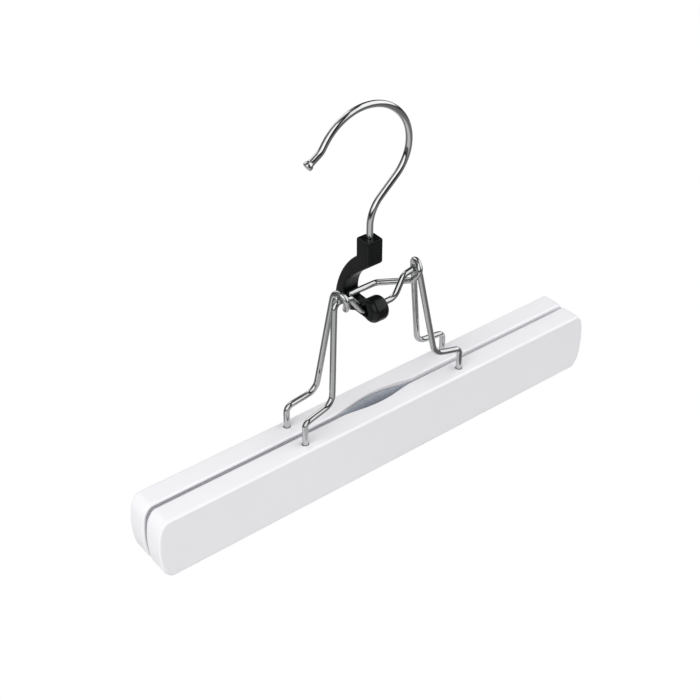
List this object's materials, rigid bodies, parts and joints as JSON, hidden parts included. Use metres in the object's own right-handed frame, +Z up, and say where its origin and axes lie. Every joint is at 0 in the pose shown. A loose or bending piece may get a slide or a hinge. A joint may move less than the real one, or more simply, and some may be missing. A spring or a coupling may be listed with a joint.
{
  "type": "hair extension hanger",
  "caption": "Clamp hanger with two felt-lined wooden bars on hinged wire frames, a cam latch that shuts them and a swivelling wire hook.",
  "frame": {"origin": "underside of the hook's crown, where the hanger hangs on a rail", "axes": "+Z up, +X along the bars towards the side that the hook's shank leans to, -Y to the front, the side of the latch's knob"},
  "size_m": [0.25, 0.032, 0.1834],
  "materials": {
    "lacquered_wood": "white satin lacquer",
    "felt": "grey pressed felt",
    "plated_wire": "bright plated steel wire",
    "black_plastic": "black moulded plastic"
  },
  "bodies": {
    "hook_body": {"hook": "plated_wire"},
    "latch_body": {"latch": "black_plastic"},
    "front_body": {"front_frame": "plated_wire", "front_bar": "lacquered_wood", "front_liner": "felt"},
    "rear_body": {"rear_frame": "plated_wire", "rear_bar": "lacquered_wood", "rear_liner": "felt"}
  },
  "joints": [
    {"name": "hook_swivel", "type": "hinge", "parent": "hook_body", "child": "latch_body", "pos_m": [0.00306, 0, -0.06078], "axis": [0, 0, 1], "continuous": true},
    {"name": "latch_pivot", "type": "hinge", "parent": "latch_body", "child": "front_body", "pos_m": [0.00686, -0.0021, -0.09577], "axis": [1, 0, 0], "range_deg": [0, 110]},
    {"name": "clamp_hinge", "type": "hinge", "parent": "front_body", "child": "rear_body", "pos_m": [0.00686, -0.0008, -0.08597], "axis": [1, 0, 0], "range_deg": [0, 27.5]}
  ],
  "couplings": [
    {"joint": "clamp_hinge", "follows": "latch_pivot", "ratio": 0.25}
  ]
}
